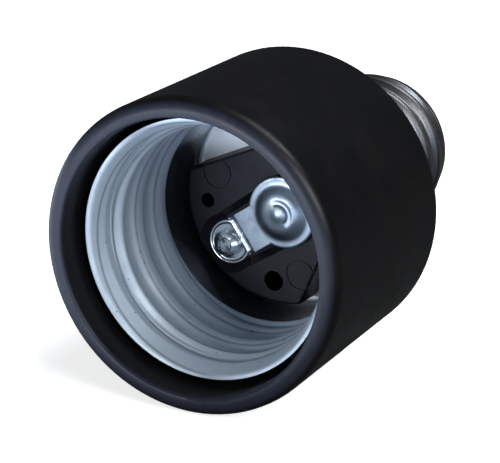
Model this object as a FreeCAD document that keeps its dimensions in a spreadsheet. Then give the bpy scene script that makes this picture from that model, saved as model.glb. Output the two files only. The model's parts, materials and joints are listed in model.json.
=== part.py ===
import FreeCAD, Part
import Sketcher
import math
import os

# Lamp socket adapter: a screw cap for a 27 mm lampholder carries a 40 mm lamp socket.
# Each piece is modelled with its own Z along the lamp axis, mouth up and the shoulder
# behind the housing at zero. FRAME then lays the axis along Y: the mouth faces -Y and
# the cap +Y, as the adapter lies on a table.

Vector = FreeCAD.Vector
Rotation = FreeCAD.Rotation
Placement = FreeCAD.Placement

SIZES = [
    # Housing, one moulding
    ("body_length", 41.3, "mouth to shoulder"),
    ("body_draft", 1.6, "how much the outside narrows from mouth to shoulder"),
    ("rim_wall", 3.35, "wall at the mouth"),
    ("lip_gap", 1.4, "gap between the lip of the shell and the bore at the mouth"),
    ("bore_draft", 0.7, "how much the bore narrows from mouth to floor"),
    ("floor_web", 2.85, "thickness of the floor that carries the inner parts"),
    ("rim_outer_round", 2.3, "round on the outer edge of the mouth"),
    ("rim_inner_round", 0.6, "round on the inner edge of the mouth"),
    ("rear_round", 2.7, "round on the edge of the shoulder"),
    ("seat_height", 3.5, "height of the ring that centres the shell on the floor"),
    ("seat_wall", 1.4, "wall of that ring"),
    ("rib_count", 6, "ribs that centre the threaded part of the shell"),
    ("rib_width", 1.6, "thickness of a rib"),
    ("rib_height", 23.0, "height of a rib above the floor"),
    ("shell_clearance", 0.12, "gap between shell and housing"),
    ("neck_length", 27.0, "length of the neck inside the cap"),
    ("neck_bore", 9.8, "bore of the neck"),
    ("neck_clearance", 0.05, "gap between neck and cap"),
    ("wire_hole", 3.9, "radius of the hole for the wires in the floor"),
    ("notch_width", 2.0, "slot in the end of the neck for the side wire"),
    ("notch_depth", 3.4, "depth of that slot"),
    # Socket shell, drawn sheet with a rolled thread of 4 turns to the inch
    ("socket_sheet", 0.45, "sheet thickness of the socket shell"),
    ("socket_major", 19.9, "inner radius in the valleys of the thread"),
    ("socket_depth", 1.1, "depth of the thread"),
    ("socket_pitch", 6.35, "pitch of the thread"),
    ("socket_phase", 159.0, "direction where a ridge lies socket_ridge behind the rim"),
    ("socket_ridge", 6.2, "distance of that ridge from the rim"),
    ("entry_play", 0.1, "how much wider the plain band in front of the thread is"),
    ("entry_length", 1.6, "length of that band"),
    ("flare_length", 3.1, "length of the flare from the band to the lip"),
    ("flare_reach", 1.25, "how much the flare widens"),
    ("flare_bend", 0.6, "inner bend radius between band and flare"),
    ("lip_recess", 5.5, "shell lip below the rim"),
    ("lip_width", 0.65, "width of the turned lip"),
    ("lip_bend", 0.3, "inner bend radius of the lip"),
    ("wall_step", 1.4, "how much narrower the smooth wall behind the thread is"),
    ("wall_length", 12.0, "length of that wall, bottom to thread"),
    ("wall_bend", 0.6, "inner bend radius between wall and bottom"),
    ("run_out", 2.2, "length over which the thread fades into a plain wall"),
    # Contact carrier, moulded block
    ("carrier_gap", 1.0, "gap between the round sides and the wall of the shell"),
    ("carrier_height", 6.0, "height of the block"),
    ("carrier_flat", 10.25, "distance of the two flat sides from the axis"),
    ("carrier_angle", 45.5, "direction of the block's line of symmetry"),
    ("flat_spread", 69.1, "angle from that line to the middle of each flat side"),
    ("carrier_round", 0.5, "round on the upper edge"),
    ("corner_round", 0.8, "round on the four corners of the block"),
    ("channel_depth", 1.2, "depth of the channel for the contact strip"),
    ("channel_end", 5.2, "half width of the channel at the screw"),
    ("channel_far", 5.8, "half width of the channel at its far end"),
    ("channel_slope", 1.2, "width of the sloping channel wall"),
    ("channel_reach", 3.7, "how far the channel passes the middle of the pad"),
    ("core_circle", 13.7, "radius of the circle of the two cored holes"),
    ("core_spread", 39.5, "half the angle between those holes"),
    ("core_small", 1.25, "radius of the small cored hole"),
    ("core_large", 1.75, "radius of the large cored hole"),
    ("core_depth", 5.0, "depth of both"),
    ("mark_circle", 12.3, "radius of the circle of the two ejector marks"),
    ("mark_spread", 62.5, "half the angle between those marks"),
    ("mark_radius", 2.65, "radius of an ejector mark"),
    ("mark_line", 0.3, "width of the line round an ejector mark"),
    ("mark_depth", 0.2, "depth of that line"),
    # Contact strip, one stamping with its screw
    ("strip_angle", 34.3, "direction of the strip, screw to pad"),
    ("strip_shift", 1.35, "how far the strip runs beside the lamp axis"),
    ("strip_sheet", 0.5, "thickness of the strip"),
    ("strip_width", 7.3, "width of the neck of the strip"),
    ("strip_reach", 12.8, "screw to the middle of the pad"),
    ("foot_radius", 3.9, "radius of the foot"),
    ("foot_edge", 2.45, "straight edge of the foot from the screw"),
    ("foot_rim", 0.7, "width of the raised rim of the foot"),
    ("foot_lift", 0.3, "height of that rim"),
    ("strip_rise", 1.8, "height of the joggle"),
    ("joggle_run", 0.5, "length of the joggle"),
    ("pad_radius", 6.2, "radius of the pad"),
    ("pad_flat", 5.2, "radius where the flat rim of the pad ends"),
    ("pad_blend", 1.8, "bend radius between rim and dome"),
    ("pad_crown", 1.3, "height of the dome above the rim"),
    ("boss_radius", 1.7, "radius of the raised middle of the pad"),
    ("boss_height", 0.45, "height of the raised middle"),
    ("screw_radius", 1.25, "thread radius of the contact screw"),
    ("screw_play", 0.1, "clearance of the screw in what it passes"),
    ("head_radius", 2.25, "radius of the screw head"),
    ("head_height", 1.6, "height of the screw head"),
    ("head_crown", 0.6, "height of its domed top"),
    ("recess_width", 0.62, "width of the slots in the head"),
    ("recess_reach", 1.75, "half length of the cross"),
    ("recess_depth", 0.95, "depth of the cross"),
    ("recess_mouth", 1.5, "radius of the funnel round the cross, at the top"),
    ("recess_throat", 0.9, "radius of the funnel at its foot"),
    ("recess_funnel", 0.5, "depth of the funnel"),
    ("washer_radius", 2.4, "radius of the lock washer"),
    ("washer_height", 0.5, "thickness of the washer"),
    ("nut_side", 5.0, "side of the square nut"),
    ("nut_height", 2.0, "height of the nut"),
    ("nut_play", 0.15, "clearance round the nut in its pocket"),
    ("nut_window", 4.7, "radius of the hole in the shell bottom round the nut"),
    # Solder tags and fixing screws
    ("tag_sheet", 0.4, "thickness of a tag"),
    ("tag_ring", 2.3, "radius of a tag's ring"),
    ("tag_width", 2.0, "width of a tag's tail"),
    ("tag_offset", 2.7, "distance of the tails from the axis"),
    ("tag_tail", 5.0, "how far a tail reaches behind the shoulder"),
    ("tag_play", 0.3, "clearance round a tag in its groove"),
    ("fixing_circle", 6.8, "distance of the fixing screws from the axis"),
    ("fixing_radius", 1.3, "radius of a fixing screw"),
    ("fixing_depth", 4.0, "how far a fixing screw bites into the carrier"),
    ("fixing_head", 2.5, "radius of its head"),
    ("fixing_head_height", 1.7, "height of its head"),
    # Cap, drawn sheet with a rolled thread of 7 turns to the inch
    ("cap_sheet", 0.35, "sheet thickness of the cap"),
    ("cap_major", 13.2, "outer radius on the crests"),
    ("cap_depth", 1.1, "depth of the thread"),
    ("cap_pitch", 3.629, "pitch of the thread"),
    ("skirt_step", 0.2, "how much narrower the plain skirt at the shoulder is"),
    ("skirt_length", 4.0, "length of that skirt"),
    ("plug_depth", 2.8, "end of the neck to the turned-in end of the cap"),
    ("cap_bend", 0.95, "inner bend radius of that end"),
    ("cap_straight", 0.35, "plain wall between that bend and the thread"),
    ("cap_mouth", 9.8, "radius of the hole in the turned-in end"),
    ("plug_clearance", 0.1, "gap round the insulating plug"),
    ("plug_nose", 3.2, "how far the plug stands out of the cap"),
    ("plug_nose_radius", 6.2, "radius of the flat end of the plug"),
    ("tip_radius", 4.7, "radius of the end contact"),
    ("tip_flange", 1.0, "thickness of the end contact's edge"),
    ("tip_crown", 1.1, "dome of the end contact"),
    ("tip_shank", 1.9, "radius of its hollow shank"),
    ("tip_clinch", 2.9, "radius of the turned-over end of the shank"),
    ("tip_clinch_height", 0.6, "thickness of that end"),
    ("solder_radius", 1.5, "radius of the solder on the end contact"),
    ("solder_crown", 0.7, "height of that solder"),
    # Wires
    ("core_radius", 0.4, "radius of the bare wire"),
    ("sleeve_radius", 0.85, "radius over the insulation"),
    ("bare_length", 2.5, "bare wire on a tag"),
    ("lead_straight", 8.5, "how far behind the shoulder the wires bend"),
    ("lead_bend", 5.0, "radius of the gentle bends of the wires"),
    ("lead_corner", 1.2, "radius of the last bend of the side wire"),
    ("side_wire_run", 8.3, "distance of the side wire from the axis near the notch"),
    ("bead_radius", 1.0, "radius of the solder beads on the tags"),
    ("solder_film", 0.05, "solder between a wire and its tag"),
    ("cap_bead_radius", 1.2, "radius of the solder bead in the cap"),
]

# Edges of a rolled wall and of a turned one that lie this near are joined
JOIN_GAP = 0.001

# An edge that lies this near to a wanted place is the one that is meant
NEAR = 0.01

doc = FreeCAD.newDocument("socket_adapter")
sheet = doc.addObject("Spreadsheet::Sheet", "Sizes")


class Size:
    """A length or angle with the sheet expression that gives it."""

    def __init__(self, value, text):
        self.value = float(value)
        self.text = text

    def __add__(self, other):
        other = as_size(other)
        return Size(self.value + other.value, "(%s + %s)" % (self.text, other.text))

    def __radd__(self, other):
        return as_size(other) + self

    def __sub__(self, other):
        other = as_size(other)
        return Size(self.value - other.value, "(%s - %s)" % (self.text, other.text))

    def __rsub__(self, other):
        return as_size(other) - self

    def __mul__(self, other):
        other = as_size(other)
        return Size(self.value * other.value, "(%s * %s)" % (self.text, other.text))

    def __rmul__(self, other):
        return as_size(other) * self

    def __neg__(self):
        return 0 - self


def as_size(thing):
    """Give a plain number the same form as a size of the sheet."""
    if isinstance(thing, Size):
        return thing
    return Size(thing, repr(float(thing)))


class Table:
    """The sizes of the sheet, each under its alias."""


S = Table()
for row, (alias, value, meaning) in enumerate(SIZES, start=1):
    sheet.set("A%d" % row, meaning)
    sheet.set("B%d" % row, str(value))
    sheet.setAlias("B%d" % row, alias)
    setattr(S, alias, Size(value, "Sizes." + alias))
doc.recompute()


# Radii that more than one piece uses
entry_radius = S.socket_major + S.entry_play
lip_radius = entry_radius + S.flare_reach + S.lip_width
wall_radius = S.socket_major - S.wall_step
rim_radius = lip_radius + S.lip_gap + S.rim_wall
rear_radius = rim_radius - S.body_draft
carrier_radius = wall_radius - S.carrier_gap
skirt_radius = S.cap_major - S.skirt_step
cap_root = S.cap_major - S.cap_depth

# Heights that more than one piece uses, from the shoulder towards the mouth
shell_floor = S.floor_web + S.socket_sheet
carrier_face = shell_floor + S.carrier_height
channel_floor = carrier_face - S.channel_depth
thread_foot = shell_floor + S.wall_length
lip_top = S.body_length - S.lip_recess
flare_foot = lip_top - S.flare_length
thread_top = flare_foot - S.entry_length
neck_end = -S.neck_length
cap_end = neck_end - S.plug_depth
plug_end = cap_end - S.plug_nose
tip_seat = plug_end
washer_seat = channel_floor + S.strip_sheet
head_seat = washer_seat + S.washer_height
tag_ceiling = shell_floor + S.nut_height + S.tag_sheet + S.screw_play * 2
side_tag_top = shell_floor + S.tag_sheet

# Directions round the axis, in degrees
contact_side = S.strip_angle + 180
fixing_angle = S.carrier_angle + 90


def frame_at(angle=0.0, shift=0.0):
    """Lay a piece in the frame, turned round the lamp axis and moved sideways."""
    turn = Rotation(Vector(0, 1, 0), -angle) * Rotation(Vector(1, 0, 0), 90)
    return Placement(turn.multVec(Vector(0, shift, 0)), turn)


def new_body(label, angle=0.0, shift=0.0):
    """Start the body of one piece."""
    body = doc.addObject("PartDesign::Body", label)
    body.Label = label
    body.Placement = frame_at(angle, shift)
    return body


def plane_of(body, role):
    """Find one of a body's own origin planes."""
    for feature in body.Origin.OriginFeatures:
        if feature.Role == role:
            return feature
    raise ValueError("no plane " + role)


def new_sketch(body, name, role="XZ_Plane", lift=None):
    """Start a sketch on an origin plane, lifted along the plane's normal."""
    sketch = body.newObject("Sketcher::SketchObject", name)
    sketch.AttachmentSupport = (plane_of(body, role), [""])
    sketch.MapMode = "FlatFace"
    if lift is not None:
        lift = as_size(lift)
        sketch.AttachmentOffset = Placement(Vector(0, 0, lift.value), Rotation())
        sketch.setExpression("AttachmentOffset.Base.z", lift.text)
    return sketch


def bind(sketch, constraint, name, size):
    """Add a constraint and tie its value to the sheet."""
    index = sketch.addConstraint(constraint)
    sketch.renameConstraint(index, name)
    sketch.setExpression("Constraints." + name, size.text)


def round_side(start, end, radius, large):
    """An anticlockwise arc between two corners, the large or the small one of that radius."""
    chord = end - start
    left = Vector(-chord.y, chord.x, 0).normalize()
    rise = math.sqrt(radius * radius - chord.Length * chord.Length / 4)
    if large:
        rise = -rise
    centre = (start + end) * 0.5 + left * rise
    return Part.Arc(start, centre - left * radius, end)


def draw_outline(sketch, points, arcs={}):
    """Draw a closed outline whose corners are tied to the sheet.

    A side whose number is in arcs is round: its radius, whether it runs anticlockwise
    and whether it is the large arc of that radius.
    """
    points = [(as_size(x), as_size(y)) for x, y in points]
    corners = [Vector(x.value, y.value, 0) for x, y in points]
    count = len(corners)
    ends = []
    for i in range(count):
        start = corners[i]
        end = corners[(i + 1) % count]
        radius, forward, large = arcs.get(i, (None, True, False))
        if radius is None:
            side = Part.LineSegment(start, end)
        elif forward:
            side = round_side(start, end, radius.value, large)
        else:
            side = round_side(end, start, radius.value, large)
        sketch.addGeometry(side, False)
        ends.append((1, 2) if forward else (2, 1))
    for i in range(count):
        after = (i + 1) % count
        sketch.addConstraint(Sketcher.Constraint("Coincident", i, ends[i][1], after, ends[after][0]))
    for i, (x, y) in enumerate(points):
        across = Sketcher.Constraint("DistanceX", -1, 1, i, ends[i][0], x.value)
        bind(sketch, across, "x%d" % i, x)
        along = Sketcher.Constraint("DistanceY", -1, 1, i, ends[i][0], y.value)
        bind(sketch, along, "y%d" % i, y)
    for i, (radius, forward, large) in arcs.items():
        bind(sketch, Sketcher.Constraint("Radius", i, radius.value), "r%d" % i, radius)
    return sketch


def draw_circle(sketch, name, x, y, radius):
    """Draw a circle whose centre and radius are tied to the sheet."""
    x = as_size(x)
    y = as_size(y)
    radius = as_size(radius)
    centre = Vector(x.value, y.value, 0)
    index = sketch.addGeometry(Part.Circle(centre, Vector(0, 0, 1), radius.value), False)
    bind(sketch, Sketcher.Constraint("Radius", index, radius.value), name + "_r", radius)
    across = Sketcher.Constraint("DistanceX", -1, 1, index, 3, x.value)
    bind(sketch, across, name + "_x", x)
    along = Sketcher.Constraint("DistanceY", -1, 1, index, 3, y.value)
    bind(sketch, along, name + "_y", y)


def revolve(body, name, points, arcs={}):
    """Turn a closed outline of (radius, height) points round the lamp axis."""
    sketch = draw_outline(new_sketch(body, name + "_outline"), points, arcs)
    solid = body.newObject("PartDesign::Revolution", name)
    solid.Profile = sketch
    solid.ReferenceAxis = (sketch, ["V_Axis"])
    solid.Angle = 360
    doc.recompute()
    return solid


def extrude(body, name, kind, sketch, length, reverse=False, both=False):
    """Pad or pocket a sketch by a length of the sheet."""
    length = as_size(length)
    solid = body.newObject("PartDesign::" + kind, name)
    solid.Profile = sketch
    solid.Length = length.value
    solid.setExpression("Length", length.text)
    solid.Reversed = reverse
    if both:
        solid.SideType = "Symmetric"
    doc.recompute()
    return solid


def drill(body, name, holes, top, depth):
    """Cut round holes, each (x, y, radius), down from a height by a depth."""
    sketch = new_sketch(body, name + "_circles", "XY_Plane", top)
    for number, (x, y, radius) in enumerate(holes):
        draw_circle(sketch, "hole%d" % number, x, y, radius)
    return extrude(body, name, "Pocket", sketch, depth)


def round_edges(body, name, radius, chosen):
    """Round the edges of the last feature that the test chooses."""
    base = body.Tip
    names = []
    for number, edge in enumerate(base.Shape.Edges, start=1):
        if chosen(edge):
            names.append("Edge%d" % number)
    fillet = body.newObject("PartDesign::Fillet", name)
    fillet.Base = (base, names)
    fillet.Radius = radius.value
    fillet.setExpression("Radius", radius.text)
    doc.recompute()
    return fillet


def is_ring(edge, radius, height):
    """Tell whether an edge is a circle round Z with this radius, at this height."""
    if edge.Degenerated or not isinstance(edge.Curve, Part.Circle):
        return False
    middle = edge.Curve.Center
    misses = [math.hypot(middle.x, middle.y), edge.Curve.Radius - radius.value, middle.z - height.value]
    return max(abs(miss) for miss in misses) < NEAR


def is_straight(edge):
    """Tell whether an edge is a straight line."""
    return isinstance(edge.Curve, Part.Line)


def polar(radius, angle):
    """Give the point at a radius and an angle as two tied sizes."""
    radius = as_size(radius)
    angle = as_size(angle)
    turn = math.radians(angle.value)
    x = Size(radius.value * math.cos(turn), "(%s * cos(%s))" % (radius.text, angle.text))
    y = Size(radius.value * math.sin(turn), "(%s * sin(%s))" % (radius.text, angle.text))
    return x, y


def cap_radius(reach, height):
    """Radius of the ball whose cap has this reach and height."""
    value = (reach.value ** 2 + height.value ** 2) / (2 * height.value)
    return Size(value, "((%s ^ 2 + %s ^ 2) / (2 * %s))" % (reach.text, height.text, height.text))


def make_housing():
    """The black moulding: cup, floor with seat ring and ribs, and neck."""
    bore_mouth = rim_radius - S.rim_wall
    bore_floor = bore_mouth - S.bore_draft
    seat_inner = wall_radius + S.socket_sheet + S.shell_clearance
    seat_outer = seat_inner + S.seat_wall
    seat_top = S.floor_web + S.seat_height
    collar = skirt_radius - S.cap_sheet - S.neck_clearance
    spigot = cap_root - S.cap_sheet - S.neck_clearance
    step = collar - spigot
    body = new_body("housing")
    revolve(body, "cup", [
        (S.wire_hole, S.floor_web),
        (seat_inner, S.floor_web),
        (seat_inner, seat_top),
        (seat_outer, seat_top),
        (seat_outer, S.floor_web),
        (bore_floor, S.floor_web),
        (bore_mouth, S.body_length),
        (rim_radius, S.body_length),
        (rear_radius, 0),
        (collar, 0),
        (collar, step - S.skirt_length),
        (spigot, -S.skirt_length),
        (spigot, neck_end),
        (S.neck_bore, neck_end),
        (S.neck_bore, 0),
        (S.wire_hole, 0),
    ])
    round_edges(body, "mouth_outer", S.rim_outer_round,
                lambda e: is_ring(e, rim_radius, S.body_length))
    round_edges(body, "mouth_inner", S.rim_inner_round,
                lambda e: is_ring(e, bore_mouth, S.body_length))
    round_edges(body, "shoulder_round", S.rear_round,
                lambda e: is_ring(e, rear_radius, as_size(0)))
    rib_inner = S.socket_major + S.socket_sheet + S.shell_clearance
    half = S.rib_width * 0.5
    rib = draw_outline(new_sketch(body, "rib_outline", "XY_Plane", S.floor_web), [
        (rib_inner, -half),
        (bore_floor + half, -half),
        (bore_floor + half, half),
        (rib_inner, half),
    ])
    pad = extrude(body, "rib", "Pad", rib, S.rib_height)
    ribs = body.newObject("PartDesign::PolarPattern", "ribs")
    ribs.Originals = [pad]
    ribs.Axis = (rib, ["N_Axis"])
    ribs.Angle = 360
    ribs.Occurrences = int(S.rib_count.value)
    ribs.setExpression("Occurrences", S.rib_count.text)
    body.Tip = ribs
    doc.recompute()
    hole = S.fixing_radius + S.screw_play
    x, y = polar(S.fixing_circle, fixing_angle)
    drill(body, "fixing_holes", [(x, y, hole), (-x, -y, hole)], S.floor_web, S.floor_web)
    notch = body.newObject("PartDesign::SubtractiveBox", "wire_notch")
    notch.Length = S.cap_major.value
    notch.setExpression("Length", S.cap_major.text)
    notch.Width = S.notch_width.value
    notch.setExpression("Width", S.notch_width.text)
    notch.Height = S.notch_depth.value
    notch.setExpression("Height", S.notch_depth.text)
    turn = Rotation(Vector(0, 0, 1), fixing_angle.value)
    corner = Vector(0, -S.notch_width.value / 2, neck_end.value)
    notch.Placement = Placement(turn.multVec(corner), turn)
    doc.recompute()
    return body


def thread_drop(along, pitch, depth):
    """How far a rolled thread lies below its crest: two arcs that touch, crest at zero."""
    half = pitch / 2
    along = abs((along + half) % pitch - half)
    arc = (half * half + depth * depth) / (4 * depth)
    if along <= half / 2:
        return arc - math.sqrt(arc * arc - along * along)
    return depth - arc + math.sqrt(arc * arc - (half - along) ** 2)


def ease(share):
    """A smooth step from 0 to 1."""
    share = min(max(share, 0.0), 1.0)
    return share * share * (3 - 2 * share)


class Thread:
    """A rolled thread between two plain walls, as one radius for each angle and height."""

    per_turn = 24
    per_pitch = 10
    quarters = 4

    def __init__(self, crest, depth, pitch, start, low, high, low_radius, high_radius, fade):
        self.crest = crest
        self.depth = depth
        self.pitch = pitch
        self.start = start
        self.low = low
        self.high = high
        self.low_radius = low_radius
        self.high_radius = high_radius
        self.fade = fade

    def radius(self, angle, height):
        """Outer radius of the thread form at an angle in radians and a height."""
        along = height - self.start - self.pitch * angle / (2 * math.pi)
        thread = self.crest - thread_drop(along, self.pitch, self.depth)
        near_low = 1 - ease((height - self.low) / self.fade)
        near_high = 1 - ease((self.high - height) / self.fade)
        full = 1 - near_low - near_high
        return full * thread + near_low * self.low_radius + near_high * self.high_radius

    def faces(self, offset):
        """The threaded wall moved outwards by an offset, in four patches of one surface."""
        rows = int(math.ceil((self.high - self.low) / self.pitch * self.per_pitch))
        heights = [self.low + (self.high - self.low) * row / rows for row in range(rows + 1)]
        spare = 3
        grid = []
        for column in range(-spare, self.per_turn + spare + 1):
            angle = 2 * math.pi * (column % self.per_turn) / self.per_turn
            line = []
            for height in heights:
                radius = self.radius(angle, height) + offset
                line.append(Vector(radius * math.cos(angle), radius * math.sin(angle), height))
            grid.append(line)
        whole = Part.BSplineSurface()
        whole.interpolate(grid)
        knots = whole.getUKnots()
        v_first, v_last = whole.bounds()[2:]
        span = self.per_turn // self.quarters
        patches = []
        for quarter in range(self.quarters):
            first = spare + quarter * span
            patch = whole.copy()
            patch.segment(knots[first], knots[first + span], v_first, v_last)
            patches.append(patch.toShape())
        return patches


def rounded_path(points, radii):
    """A path of straight runs with an arc of its own radius at each inner point."""
    edges = []
    start = points[0]
    for before, corner, after, radius in zip(points, points[1:], points[2:], radii):
        back = (before - corner).normalize()
        ahead = (after - corner).normalize()
        half = back.getAngle(ahead) / 2
        run = radius / math.tan(half)
        first = corner + back * run
        last = corner + ahead * run
        middle = (back + ahead).normalize()
        centre = corner + middle * (radius / math.sin(half))
        edges.append(Part.LineSegment(start, first).toShape())
        edges.append(Part.Arc(first, centre - middle * radius, last).toShape())
        start = last
    edges.append(Part.LineSegment(start, points[-1]).toShape())
    return Part.Wire(edges)


def turned_sheet(points, bends, thickness):
    """A bent sheet turned round the lamp axis.

    The points are (radius, height) on its open face, with the sheet on the right, and the
    bends are the radii on the inside of each corner.
    """
    face = [Vector(radius.value, 0, height.value) for radius, height in points]
    rights = []
    for start, end in zip(face, face[1:]):
        heading = (end - start).normalize()
        rights.append(Vector(heading.z, 0, -heading.x))
    back = [face[0] + rights[0] * thickness]
    face_radii = []
    back_radii = []
    for corner, before, after, bend in zip(face[1:], rights, rights[1:], bends):
        both = before + after
        back.append(corner + both * (2 * thickness / both.Length ** 2))
        turns_right = before.cross(after).y > 0
        face_radii.append(bend.value + thickness if turns_right else bend.value)
        back_radii.append(bend.value if turns_right else bend.value + thickness)
    back.append(face[-1] + rights[-1] * thickness)
    edges = rounded_path(face, face_radii).Edges + rounded_path(back, back_radii).Edges
    edges.append(Part.makeLine(face[0], back[0]))
    edges.append(Part.makeLine(face[-1], back[-1]))
    section = Part.Face(Part.Wire(Part.sortEdges(edges)[0]))
    return section.revolve(Vector(0, 0, 0), Vector(0, 0, 1), 360)


def end_ring(outer, inner, height):
    """The flat ring that closes a threaded wall at one end."""
    rings = []
    for faces in (outer, inner):
        edges = []
        for face in faces:
            for edge in face.Edges:
                box = edge.BoundBox
                if max(abs(box.ZMin - height), abs(box.ZMax - height)) < 0.001:
                    edges.append(edge)
        rings.append(Part.Wire(Part.sortEdges(edges)[0]))
    return Part.makeFace(rings, "Part::FaceMakerBullseye").Faces


def threaded_tube(thread, inner_offset, outer_offset):
    """The threaded wall as a solid of its own, closed by a flat ring at each end."""
    inner = thread.faces(inner_offset)
    outer = thread.faces(outer_offset)
    skin = Part.Compound(
        inner + outer + end_ring(outer, inner, thread.low) + end_ring(outer, inner, thread.high))
    skin.sewShape()
    solid = Part.Solid(skin.Shells[0])
    if solid.Volume < 0:
        solid.reverse()
    return solid


def make_socket_shell():
    """The socket shell: turned lip, flare, rolled thread, smooth wall and flat bottom."""
    sheet_now = S.socket_sheet.value
    turns = S.socket_phase.value / 360
    ridge = S.body_length.value - S.socket_ridge.value
    start = ridge + S.socket_pitch.value * (0.5 - turns)
    thread = Thread(
        S.socket_major.value, S.socket_depth.value, S.socket_pitch.value, start,
        thread_foot.value, thread_top.value, wall_radius.value, entry_radius.value, S.run_out.value)
    flare = turned_sheet([
        (entry_radius, thread_top),
        (entry_radius, flare_foot),
        (entry_radius + S.flare_reach, lip_top),
        (lip_radius, lip_top),
    ], [S.flare_bend, S.lip_bend], sheet_now)
    cup = turned_sheet([
        (S.wire_hole, shell_floor),
        (wall_radius, shell_floor),
        (wall_radius, thread_foot),
    ], [S.wall_bend], sheet_now)
    solid = threaded_tube(thread, 0, sheet_now).multiFuse([flare, cup], JOIN_GAP)
    tools = []
    fixing = S.fixing_radius.value + S.screw_play.value
    for angle in (fixing_angle.value, fixing_angle.value + 180):
        tools.append((S.fixing_circle.value, math.radians(angle), fixing))
    window = math.hypot(S.strip_reach.value, S.strip_shift.value)
    tilt = math.atan2(S.strip_shift.value, S.strip_reach.value)
    tools.append((window, math.radians(contact_side.value) + tilt, S.nut_window.value))
    below = S.floor_web.value - sheet_now
    for reach, angle, radius in tools:
        place = Vector(reach * math.cos(angle), reach * math.sin(angle), below)
        solid = solid.cut(Part.makeCylinder(radius, 3 * sheet_now, place))
    feature = doc.addObject("Part::Feature", "e40_shell")
    feature.Shape = solid
    feature.Placement = frame_at()
    return feature


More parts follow.
